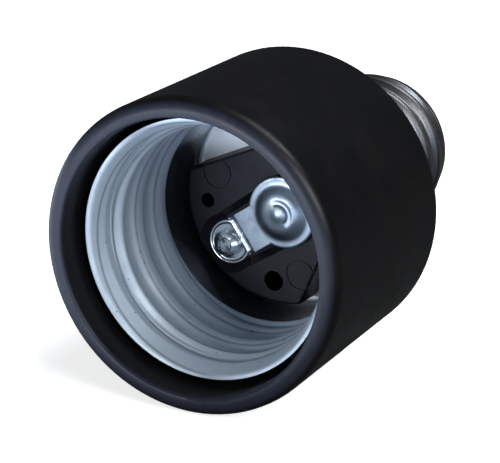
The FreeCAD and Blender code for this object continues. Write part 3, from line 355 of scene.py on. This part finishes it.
def make_effects() -> None:
    """Build every shared effect once."""
    for make in (make_turned_lines, make_grain, make_specks, make_clouds, make_thread_lines,
                 make_scratches):
        make()


def new_material(name: str) -> tuple[bpy.types.Material, Graph, bpy.types.Node]:
    """Start a material with one Principled shader.

    Args:
        name: The material's name.

    Returns:
        The material, its graph and the shader.
    """
    made = bpy.data.materials.new(name)
    made.use_nodes = True
    made.node_tree.nodes.clear()
    graph = Graph(made.node_tree)
    shader = graph.node("ShaderNodeBsdfPrincipled")
    out = graph.node("ShaderNodeOutputMaterial")
    made.node_tree.links.new(shader.outputs[0], out.inputs[0])
    return made, graph, shader


def add_bump(graph: Graph, shader: bpy.types.Node, height: Socket, depth: float) -> None:
    """Let a height shape the shader's normal.

    Args:
        graph: The material's graph.
        shader: Its shader.
        height: The height, about 0 to 1.
        depth: The real height of one unit, in metres.
    """
    bump = graph.node("ShaderNodeBump")
    bump.inputs["Distance"].default_value = depth
    graph.feed(bump.inputs["Height"], height)
    graph.feed(shader.inputs["Normal"], bump.outputs[0])


@dataclass(frozen=True)
class Moulding:
    """A dark moulded plastic: fine grain, cloudy gloss and a little dust.

    A painted highlight, pale and patchy, lies on what is in front of a given place on the lamp axis, where
    that place is given.
    """

    slot: Slot
    colour: Colour
    haze: Colour
    gloss_rough: float
    dull_rough: float
    grain_scale: float
    grain_depth: float
    dust_share: float
    specular: float = 0.5
    # These three fields paint a pale, patchy highlight on the rim's front.
    painted_highlight_from: float | None = None
    painted_highlight_fade: float = 0.9 * MM
    rim_painted_highlight: Colour = (0.016, 0.018, 0.028)
    dust: Colour = (0.20, 0.20, 0.20)
    dust_rough: float = 0.9

    def paint_rim_highlight(self, graph: Graph, base: Socket) -> Socket:
        """Paint a patchy pale highlight on the front edge.

        Args:
            graph: The material's graph.
            base: The colour under it.

        Returns:
            The colour with the bloom.
        """
        along = graph.axes()[1]
        # Painted highlight: a pale bluish colour on the rim's front.
        front = graph.ramp(along, self.painted_highlight_from - self.painted_highlight_fade, self.painted_highlight_from, 1.0, 0.0)
        patchy = graph.ramp(graph.noise(graph.place(), 900.0), 0.3, 0.7, 0.75, 1.0)
        return graph.blend(graph.maths("MULTIPLY", front, patchy), base, self.rim_painted_highlight)

    def make(self) -> bpy.types.Material:
        """Build the material.

        Returns:
            The material, named as its slot.
        """
        made, graph, shader = new_material(self.slot.value)
        clouds = CLOUDS.use(graph, Scale=70.0, Low=0.35, High=0.7)
        dust = SPECKS.use(graph, Scale=330.0, Share=self.dust_share, Size=0.06)
        base = graph.blend(clouds, self.colour, self.haze)
        # Painted highlight on the rim's front, where a place is given.
        if self.painted_highlight_from is not None:
            base = self.paint_rim_highlight(graph, base)
        graph.feed(shader.inputs["Base Color"], graph.blend(dust, base, self.dust))
        rough = graph.ramp(clouds, 0.0, 1.0, self.gloss_rough, self.dull_rough)
        rough = graph.maths("MAXIMUM", rough, graph.maths("MULTIPLY", dust, self.dust_rough))
        graph.feed(shader.inputs["Roughness"], rough)
        shader.inputs["Specular IOR Level"].default_value = self.specular
        grain = GRAIN.use(graph, Scale=self.grain_scale, Depth=1.0)
        add_bump(graph, shader, grain, self.grain_depth)
        return made


@dataclass(frozen=True)
class Plating:
    """A plated thread: turned lines, cloudy gloss, dark specks and lines of painted shade along the thread.

    Thin lines of painted shade run on both sides of the thread's ridge, and the ridge carries a pale
    line, partly real wear and partly a painted highlight. The groove is the place on the lamp axis
    where the thread's groove passes the +X side. Where the sheet has a smooth wall, between two places
    on the axis, the wall is polished, painted shade darkens its lower part, and the bottom behind it
    is painted near-white as painted light.
    """

    slot: Slot
    bright: Colour
    dull: Colour
    # Colour of the dark specks, and of the lines of painted shade beside the ridge.
    stain_and_shade: Colour
    gloss_rough: float
    dull_rough: float
    metallic: float
    bump_depth: float
    speck_share: float
    pitch: float
    groove: float
    line_place: float
    shade_line_share: float
    # Pale line on the ridge: partly real wear, partly painted highlight.
    worn_and_highlight: Colour
    worn_and_highlight_share: float
    wall: tuple[float, float] | None = None
    wall_fade: float = 0.4 * MM
    wall_rough: float = 0.42
    wall_lines: float = 0.15
    # These four fields paint shade on the lower part of the polished wall.
    painted_shade_below: float = 8.0 * MM
    painted_shade_fade: float = 2.0 * MM
    painted_shade_share: float = 0.93
    painted_shade: Colour = (0.008, 0.008, 0.009)
    # Painted light: the near-white colour of the bottom behind the wall.
    bottom_painted_light: Colour = (0.90, 0.94, 0.97)
    bottom_fade: float = 0.2 * MM

    def find_wall(self, graph: Graph) -> Socket:
        """Tell where the wall is polished.

        Args:
            graph: The material's graph.

        Returns:
            1 between the wall's two ends, 0 elsewhere.
        """
        front, back = self.wall
        along = graph.axes()[1]
        begins = graph.ramp(along, front, front + self.wall_fade)
        ends = graph.ramp(along, back - self.wall_fade, back, 1.0, 0.0)
        return graph.maths("MULTIPLY", begins, ends)

    def mark(self, graph: Graph, base: Socket, marks: Socket) -> Socket:
        """Lay the specks, the lines of painted shade beside the ridge and the ridge's pale line, which is
        partly wear and partly painted highlight, on the colour.

        Args:
            graph: The material's graph.
            base: The colour under them.
            marks: Where the specks are.

        Returns:
            The marked colour.
        """
        base = graph.blend(marks, base, self.stain_and_shade)
        # Painted shade: dark lines on both sides of the ridge.
        beside = THREAD_LINES.use(graph, Pitch=self.pitch, Start=self.groove, Offset=self.line_place, Width=0.06)
        base = graph.blend(graph.maths("MULTIPLY", beside, self.shade_line_share), base, self.stain_and_shade)
        # Pale line on the ridge: partly real wear, partly painted highlight.
        ridge = THREAD_LINES.use(graph, Pitch=self.pitch, Start=self.groove, Offset=0.0, Width=0.09)
        return graph.blend(graph.maths("MULTIPLY", ridge, self.worn_and_highlight_share), base, self.worn_and_highlight)

    def shade_wall(self, graph: Graph, base: Socket, wall: Socket) -> Socket:
        """Paint shade on the wall's lower part, and paint light on the bottom as a near-white colour.

        Args:
            graph: The material's graph.
            base: The colour under them.
            wall: Where the wall is.

        Returns:
            The shaded colour.
        """
        _, along, up = graph.axes()
        back = self.wall[1]
        # Painted shade: darken the lower part of the polished wall.
        painted_shade = graph.ramp(up, self.painted_shade_below, self.painted_shade_below + self.painted_shade_fade, self.painted_shade_share, 0.0)
        ahead = graph.ramp(along, back - self.bottom_fade, back, 1.0, 0.0)
        painted_shade = graph.maths("MULTIPLY", painted_shade, graph.maths("MULTIPLY", ahead, wall))
        base = graph.blend(painted_shade, base, self.painted_shade)
        # Painted light: give the bottom behind the wall a near-white colour.
        behind = graph.ramp(along, back + self.bottom_fade, back + 2.0 * self.bottom_fade)
        return graph.blend(behind, base, self.bottom_painted_light)

    def make(self) -> bpy.types.Material:
        """Build the material.

        Returns:
            The material, named as its slot.
        """
        made, graph, shader = new_material(self.slot.value)
        shader.inputs["Metallic"].default_value = self.metallic
        lines = TURNED.use(graph, Fineness=5200.0, Length=2.5)
        clouds = CLOUDS.use(graph, Scale=55.0, Low=0.35, High=0.7)
        specks = SPECKS.use(graph, Scale=420.0, Share=self.speck_share, Size=0.09)
        pits = SPECKS.use(graph, Scale=1100.0, Share=self.speck_share, Size=0.22)
        marks = graph.maths("MAXIMUM", specks, graph.maths("MULTIPLY", pits, 0.5))
        base = graph.blend(clouds, self.bright, self.dull)
        base = graph.blend(graph.ramp(lines, 0.25, 0.8, 0.0, 0.35), base, self.dull)
        base = self.mark(graph, base, marks)
        rough = graph.ramp(clouds, 0.0, 1.0, self.gloss_rough, self.dull_rough)
        rough = graph.maths("ADD", rough, graph.maths("MULTIPLY", marks, 0.25))
        rough = graph.maths("ADD", rough, graph.ramp(lines, 0.3, 0.8, 0.0, 0.08))
        if self.wall is not None:
            wall = self.find_wall(graph)
            rough = graph.maths("MULTIPLY", rough, graph.ramp(wall, 0.0, 1.0, 1.0, self.wall_rough))
            lines = graph.maths("MULTIPLY", lines, graph.ramp(wall, 0.0, 1.0, 1.0, self.wall_lines))
            base = self.shade_wall(graph, base, wall)
        graph.feed(shader.inputs["Base Color"], base)
        graph.feed(shader.inputs["Roughness"], rough)
        grain = GRAIN.use(graph, Scale=2400.0, Depth=1.0)
        add_bump(graph, shader, graph.maths("ADD", lines, grain), self.bump_depth)
        return made


@dataclass(frozen=True)
class Stamping:
    """A plated stamping: mottled dull surface with fine grain and scratches.

    What lies behind polished_behind on the lamp axis is polished, where that is given.
    """

    slot: Slot
    bright: Colour
    dull: Colour
    gloss_rough: float
    dull_rough: float
    grain_depth: float
    polished_behind: float | None = None
    polish_fade: float = 0.1 * MM
    polish_rough: float = 0.5
    polish: Colour = (0.80, 0.85, 0.90)
    scratch_share: float = 0.4
    scratch_depth: float = 0.6

    def make(self) -> bpy.types.Material:
        """Build the material.

        Returns:
            The material, named as its slot.
        """
        made, graph, shader = new_material(self.slot.value)
        shader.inputs["Metallic"].default_value = 1.0
        mottle = CLOUDS.use(graph, Scale=420.0, Low=0.4, High=0.68)
        patches = CLOUDS.use(graph, Scale=110.0, Low=0.45, High=0.6)
        share = graph.maths("MULTIPLY", mottle, graph.ramp(patches, 0.0, 1.0, 0.35, 1.0))
        scratches = SCRATCHES.use(graph, Scale=260.0, Width=0.03)
        base = graph.blend(share, self.bright, self.dull)
        base = graph.blend(graph.maths("MULTIPLY", scratches, self.scratch_share), base, self.dull)
        rough = graph.ramp(share, 0.0, 1.0, self.gloss_rough, self.dull_rough)
        if self.polished_behind is not None:
            start = self.polished_behind
            polished = graph.ramp(graph.axes()[1], start - self.polish_fade, start + self.polish_fade)
            base = graph.blend(polished, base, self.polish)
            rough = graph.maths("MULTIPLY", rough, graph.ramp(polished, 0.0, 1.0, 1.0, self.polish_rough))
        graph.feed(shader.inputs["Base Color"], base)
        graph.feed(shader.inputs["Roughness"], rough)
        grain = GRAIN.use(graph, Scale=2600.0, Depth=1.0)
        height = graph.maths("SUBTRACT", grain, graph.maths("MULTIPLY", scratches, self.scratch_depth))
        add_bump(graph, shader, height, self.grain_depth)
        return made


FINISHES = (
    # The housing's pale front rim is a painted highlight.
    Moulding(
        Slot.HOUSING, colour=(0.0030, 0.0030, 0.0034), haze=(0.0045, 0.0043, 0.0043),
        gloss_rough=0.36, dull_rough=0.46, grain_scale=2600.0, grain_depth=0.006 * MM,
        dust_share=0.05, specular=0.2, painted_highlight_from=-40.3 * MM,
    ),
    Moulding(
        Slot.CARRIER, colour=(0.003, 0.003, 0.006), haze=(0.005, 0.005, 0.009),
        gloss_rough=0.45, dull_rough=0.58, grain_scale=4200.0, grain_depth=0.1 * MM,
        dust_share=0.03, specular=0.22,
    ),
    Moulding(
        Slot.PLUG, colour=(0.008, 0.008, 0.008), haze=(0.012, 0.011, 0.011),
        gloss_rough=0.22, dull_rough=0.35, grain_scale=2000.0, grain_depth=0.004 * MM,
        dust_share=0.02,
    ),
    Moulding(
        Slot.SLEEVE, colour=(0.30, 0.02, 0.015), haze=(0.36, 0.03, 0.02),
        gloss_rough=0.4, dull_rough=0.5, grain_scale=1500.0, grain_depth=0.004 * MM,
        dust_share=0.0,
    ),
    Moulding(
        Slot.SLEEVE_DARK, colour=(0.010, 0.010, 0.010), haze=(0.014, 0.014, 0.014),
        gloss_rough=0.4, dull_rough=0.5, grain_scale=1500.0, grain_depth=0.004 * MM,
        dust_share=0.0,
    ),
    Plating(
        Slot.SOCKET, bright=(0.48, 0.54, 0.59), dull=(0.39, 0.45, 0.51), stain_and_shade=(0.09, 0.10, 0.12),
        gloss_rough=0.52, dull_rough=0.64, metallic=0.65, bump_depth=0.014 * MM, speck_share=0.22,
        pitch=6.35 * MM, groove=-35.47 * MM, line_place=0.21, shade_line_share=0.6,
        worn_and_highlight=(0.62, 0.68, 0.73), worn_and_highlight_share=0.35, wall=(-15.4 * MM, -3.9 * MM),
    ),
    Plating(
        Slot.CAP, bright=(0.20, 0.23, 0.27), dull=(0.13, 0.13, 0.135), stain_and_shade=(0.035, 0.03, 0.027),
        gloss_rough=0.30, dull_rough=0.40, metallic=1.0, bump_depth=0.003 * MM, speck_share=0.10,
        pitch=3.629 * MM, groove=23.06 * MM, line_place=0.17, shade_line_share=0.8,
        worn_and_highlight=(0.42, 0.36, 0.31), worn_and_highlight_share=0.7,
    ),
    Stamping(
        Slot.CONTACT, bright=(0.25, 0.29, 0.33), dull=(0.15, 0.18, 0.21),
        gloss_rough=0.34, dull_rough=0.48, grain_depth=0.010 * MM, polished_behind=-9.0 * MM,
    ),
    Stamping(
        Slot.SCREW, bright=(0.66, 0.71, 0.76), dull=(0.40, 0.44, 0.49),
        gloss_rough=0.20, dull_rough=0.34, grain_depth=0.004 * MM,
    ),
    Stamping(
        Slot.TAG, bright=(0.72, 0.66, 0.50), dull=(0.55, 0.49, 0.36),
        gloss_rough=0.28, dull_rough=0.42, grain_depth=0.004 * MM,
    ),
    Stamping(
        Slot.TIP, bright=(0.66, 0.62, 0.52), dull=(0.45, 0.41, 0.33),
        gloss_rough=0.24, dull_rough=0.40, grain_depth=0.004 * MM,
    ),
    Stamping(
        Slot.SOLDER, bright=(0.66, 0.67, 0.68), dull=(0.50, 0.51, 0.52),
        gloss_rough=0.20, dull_rough=0.34, grain_depth=0.010 * MM,
    ),
    Stamping(
        Slot.COPPER, bright=(0.80, 0.42, 0.27), dull=(0.55, 0.28, 0.18),
        gloss_rough=0.26, dull_rough=0.40, grain_depth=0.004 * MM,
    ),
)


@dataclass(frozen=True)
class ContactStrip:
    """The stamped strip: a dished foot, a joggle, the neck and the domed pad.

    Its own X runs from the screw to the pad, its own Z towards the mouth, and the pad's middle
    stands on its origin. Its sizes are in millimetres, apart from middle, which is its origin
    in the model, and voxel, both in metres. The angle is in degrees.
    """

    name: str = "contact_strip"
    node: str = "centre_contact"
    middle: Place = (0.761 * MM, 0.0, -1.115 * MM)
    angle: float = 34.3
    reach: float = 12.8
    low: float = 8.1
    high: float = 9.9
    sheet: float = 0.5
    half_width: float = 3.65
    riser_foot: float = -10.35
    riser_head: float = -8.45
    riser_shift: float = 0.15
    foot_overlap: float = 0.8
    neck_end: float = -4.9
    bead_width: float = 0.4
    bead_length: float = 5.9
    bead_height: float = 0.75
    dent_radius: float = 1.95
    dent_width: float = 0.34
    dent_depth: float = 0.34
    round_steps: int = 96
    voxel: float = 0.09 * MM
    soften_share: float = 0.5
    soften_rounds: int = 6
    pad_under_edge: Points = ((6.2, 9.95),)
    pad_top: Points = (
        (6.2, 10.15), (6.1, 10.32), (5.85, 10.4), (5.3, 10.4), (4.9, 10.44), (4.6, 10.55),
        (4.2, 10.8), (3.8, 11.07), (3.4, 11.3), (3.0, 11.46), (2.6, 11.57), (2.2, 11.65),
        (1.8, 11.73), (1.4, 11.82), (1.0, 11.94), (0.6, 12.06), (0.3, 12.13), (0.0, 12.15),
    )
    foot_section: Points = (
        (1.35, 8.1), (3.9, 8.1), (3.9, 8.7), (3.78, 8.84), (3.6, 8.9), (3.42, 8.84),
        (3.2, 8.62), (2.9, 8.6), (1.35, 8.6),
    )

    def spin_round(self, shape: bmesh.types.BMesh, section: Points, closed: bool,
                   centre: float) -> None:
        """Turn a section round an upright axis on the strip's own X.

        Args:
            shape: The mesh to add to.
            section: Radius and height of its corners.
            closed: Whether the last corner joins the first.
            centre: Where the axis stands along X.
        """
        corners = [shape.verts.new((centre + radius, 0.0, height)) for radius, height in section]
        pairs = list(zip(corners, corners[1:]))
        if closed:
            pairs.append((corners[-1], corners[0]))
        sides = [shape.edges.new(pair) for pair in pairs]
        bmesh.ops.spin(shape, geom=corners + sides, cent=(centre, 0.0, 0.0), axis=(0.0, 0.0, 1.0),
                       angle=math.tau, steps=self.round_steps, use_merge=True)
        bmesh.ops.remove_doubles(shape, verts=shape.verts, dist=MERGE_MM)

    def make_pad(self) -> bmesh.types.BMesh:
        """Build the domed pad, with a crescent dent in its dome on the side away from the screw.

        Returns:
            The pad's mesh.
        """
        shape = bmesh.new()
        under = tuple((radius, height - self.sheet) for radius, height in reversed(self.pad_top[2:]))
        self.spin_round(shape, under + self.pad_under_edge + self.pad_top, False, 0.0)
        for corner in shape.verts:
            radius = math.hypot(corner.co.x, corner.co.y)
            beside = math.exp(-((radius - self.dent_radius) / self.dent_width) ** 2)
            facing = max(0.0, corner.co.x / radius) if radius > MERGE_MM else 0.0
            corner.co.z -= self.dent_depth * beside * math.sqrt(facing)
        return shape

    def make_neck(self) -> bmesh.types.BMesh:
        """Build the joggle and the neck.

        Returns:
            Their mesh.
        """
        shape = bmesh.new()
        start = self.riser_foot - self.foot_overlap
        section = (
            (start, self.low), (self.riser_foot + self.riser_shift, self.low),
            (self.riser_head + self.riser_shift, self.high), (self.neck_end, self.high),
            (self.neck_end, self.high + self.sheet), (self.riser_head, self.high + self.sheet),
            (self.riser_foot, self.low + self.sheet), (start, self.low + self.sheet),
        )
        side = shape.faces.new([shape.verts.new((x, -self.half_width, z)) for x, z in section])
        moved = bmesh.ops.extrude_face_region(shape, geom=[side])["geom"]
        corners = [item for item in moved if isinstance(item, bmesh.types.BMVert)]
        bmesh.ops.translate(shape, verts=corners, vec=(0.0, 2.0 * self.half_width, 0.0))
        return shape

    def make_foot(self) -> bmesh.types.BMesh:
        """Build the dished foot, cut straight at the joggle.

        Returns:
            The foot's mesh.
        """
        shape = bmesh.new()
        self.spin_round(shape, self.foot_section, True, -self.reach)
        everything = list(shape.verts) + list(shape.edges) + list(shape.faces)
        bmesh.ops.bisect_plane(shape, geom=everything, dist=MERGE_MM,
                               plane_co=(self.riser_foot, 0.0, 0.0), plane_no=(1.0, 0.0, 0.0),
                               clear_outer=True)
        rims = [edge for edge in shape.edges if edge.is_boundary]
        bmesh.ops.holes_fill(shape, edges=rims, sides=0)
        return shape

    def make_bead(self) -> bmesh.types.BMesh:
        """Build the low bead along the foot's straight side.

        Returns:
            The bead's mesh.
        """
        shape = bmesh.new()
        bmesh.ops.create_cube(shape, size=1.0)
        size = (self.bead_width, self.bead_length, self.bead_height)
        bmesh.ops.scale(shape, verts=shape.verts, vec=size)
        place = (self.riser_foot - self.bead_width / 2.0, 0.0, self.low + self.bead_height / 2.0)
        bmesh.ops.translate(shape, verts=shape.verts, vec=place)
        return shape

    def join(self) -> bpy.types.Mesh:
        """Gather the four forms in one mesh, in the model's own place.

        Returns:
            The mesh, in metres.
        """
        mesh = bpy.data.meshes.new(self.name)
        whole = bmesh.new()
        for make in (self.make_pad, self.make_neck, self.make_foot, self.make_bead):
            form = make()
            bmesh.ops.recalc_face_normals(form, faces=form.faces)
            form.to_mesh(mesh)
            form.free()
            whole.from_mesh(mesh)
        upright = Matrix.Rotation(math.radians(90.0), 4, "X")
        turn = Matrix.Rotation(-math.radians(self.angle), 4, "Y") @ upright
        place = Matrix.Translation(self.middle) @ turn @ Matrix.Scale(MM, 4)
        bmesh.ops.transform(whole, matrix=place, verts=whole.verts)
        whole.to_mesh(mesh)
        whole.free()
        return mesh

    def build(self, finish: bpy.types.Material) -> bpy.types.Object:
        """Make the finished strip in place of its plain solid.

        Args:
            finish: The material of its slot.

        Returns:
            The strip.
        """
        strip = bpy.data.objects.new(self.name, self.join())
        bpy.context.scene.collection.objects.link(strip)
        strip.data.materials.append(finish)
        fuse = strip.modifiers.new("fuse", "REMESH")
        fuse.mode = "VOXEL"
        fuse.voxel_size = self.voxel
        fuse.use_smooth_shade = True
        soften = strip.modifiers.new("soften", "SMOOTH")
        soften.factor = self.soften_share
        soften.iterations = self.soften_rounds
        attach(strip, BODY)
        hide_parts(self.node)
        LOG.info("piece %s", self.name)
        return strip


@dataclass
class Dresser:
    """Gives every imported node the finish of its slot."""

    frame: dict
    materials: dict[str, bpy.types.Material] = field(default_factory=dict)

    def mix_finishes(self) -> None:
        """Build the material of each slot."""
        for finish in FINISHES:
            self.materials[finish.slot.value] = finish.make()
            LOG.info("finish %s", finish.slot.value)

    def dress_nodes(self) -> None:
        """Put each node's finish in its object's slots."""
        for name, thing in self.frame["nodes"].items():
            for slot in thing.material_slots:
                wanted = slot.material.name.split(".")[0] if slot.material else ""
                slot.link = "OBJECT"
                slot.material = self.materials[wanted]
            LOG.info("node %s dressed", name)


@dataclass(frozen=True)
class Light:
    """One soft rectangular light."""

    name: str
    place: Place
    width: float
    height: float
    watts: float
    colour: Colour

    def hang(self, aim: Vector) -> None:
        """Add the light to the scene.

        Args:
            aim: What it points at.
        """
        data = bpy.data.lights.new(self.name, "AREA")
        data.shape = "RECTANGLE"
        data.size = self.width
        data.size_y = self.height
        data.energy = self.watts
        data.color = self.colour
        light = bpy.data.objects.new(self.name, data)
        light.location = self.place
        light.rotation_euler = (aim - Vector(self.place)).to_track_quat("-Z", "Y").to_euler()
        bpy.context.scene.collection.objects.link(light)


LIGHTS = (
    Light("key", (0.85, -0.48, 0.55), width=0.5, height=0.5, watts=9.5, colour=(0.93, 0.97, 1.0)),
    Light("front", (-0.25, -0.8, 0.03), width=0.5, height=0.09, watts=4.0, colour=(0.88, 0.94, 1.0)),
    Light("top", (0.35, 0.2, 0.85), width=0.4, height=0.4, watts=6.0, colour=(0.93, 0.96, 1.0)),
)


@dataclass
class Studio:
    """The floor, the lights and the camera.

    The camera sees the floor as bright paper. Everything else sees it darker, with a bright
    zone in front of the mouth, which starts where near_slant times X plus Y passes near_edge.
    """

    floor_level: float = -26.65 * MM
    floor_size: float = 6.0
    eye: Place = (308.3 * MM, -602.0 * MM, 221.7 * MM)
    heading: Place = (-0.4443, 0.8372, -0.3192)
    lens: float = 306.4
    sensor: float = 36.0
    shift: tuple[float, float] = (0.00614, -0.0171)
    far: float = 20.0
    aim: Place = (0.0, -0.02, 0.0)
    sky: Colour = (0.85, 0.90, 1.0)
    sky_strength: float = 0.07
    paper: Colour = (0.95, 0.95, 0.95)
    paper_dark: Colour = (0.08, 0.08, 0.08)
    paper_light: float = 0.8
    paper_rough: float = 0.9
    near_slant: float = 0.6
    near_edge: tuple[float, float] = (-0.10, -0.05)
    near_light: float = 3.4
    near_tint: Colour = (0.70, 0.80, 1.0)

    def mix_paper(self) -> bpy.types.Material:
        """Build the floor's material.

        Returns:
            The material.
        """
        made, graph, shader = new_material("floor_paper")
        seen = graph.node("ShaderNodeLightPath").outputs["Is Camera Ray"]
        graph.feed(shader.inputs["Base Color"], graph.blend(seen, self.paper_dark, self.paper))
        across, along, _ = graph.axes()
        ahead = graph.maths("ADD", graph.maths("MULTIPLY", across, self.near_slant), along)
        near = graph.ramp(ahead, *self.near_edge, self.near_light, 0.0)
        glow = graph.node("ShaderNodeMix", data_type="FLOAT")
        for index, term in ((0, seen), (2, near), (3, self.paper_light)):
            graph.feed(glow.inputs[index], term)
        graph.feed(shader.inputs["Emission Color"], graph.blend(seen, self.near_tint, self.paper))
        graph.feed(shader.inputs["Emission Strength"], glow.outputs[0])
        shader.inputs["Roughness"].default_value = self.paper_rough
        return made

    def lay_floor(self) -> None:
        """Make the pale floor."""
        mesh = bpy.data.meshes.new("floor")
        shape = bmesh.new()
        bmesh.ops.create_grid(shape, x_segments=1, y_segments=1, size=self.floor_size / 2.0)
        bmesh.ops.translate(shape, verts=shape.verts, vec=(0.0, 0.0, self.floor_level))
        shape.to_mesh(mesh)
        shape.free()
        mesh.materials.append(self.mix_paper())
        floor = bpy.data.objects.new("floor", mesh)
        bpy.context.scene.collection.objects.link(floor)

    def light_up(self) -> None:
        """Set the soft surroundings and the lights."""
        world = bpy.data.worlds.new("studio")
        world.use_nodes = True
        back = world.node_tree.nodes["Background"]
        back.inputs["Color"].default_value = (*self.sky, 1.0)
        back.inputs["Strength"].default_value = self.sky_strength
        bpy.context.scene.world = world
        bpy.context.scene.view_settings.view_transform = "Standard"
        for light in LIGHTS:
            light.hang(Vector(self.aim))

    def set_camera(self) -> None:
        """Place the camera at the photograph's view."""
        data = bpy.data.cameras.new("camera")
        data.lens = self.lens
        data.sensor_width = self.sensor
        data.shift_x, data.shift_y = self.shift
        data.clip_end = self.far
        camera = bpy.data.objects.new("camera", data)
        camera.location = self.eye
        camera.rotation_euler = Vector(self.heading).to_track_quat("-Z", "Y").to_euler()
        bpy.context.scene.collection.objects.link(camera)
        bpy.context.scene.camera = camera


def main() -> None:
    """Build the scene."""
    logging.basicConfig(level=logging.INFO, format="%(name)s: %(message)s")
    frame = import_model()
    make_effects()
    dresser = Dresser(frame)
    dresser.mix_finishes()
    dresser.dress_nodes()
    ContactStrip().build(dresser.materials[Slot.CONTACT.value])
    studio = Studio()
    studio.lay_floor()
    studio.light_up()
    studio.set_camera()


if __name__ == "__main__":
    main()
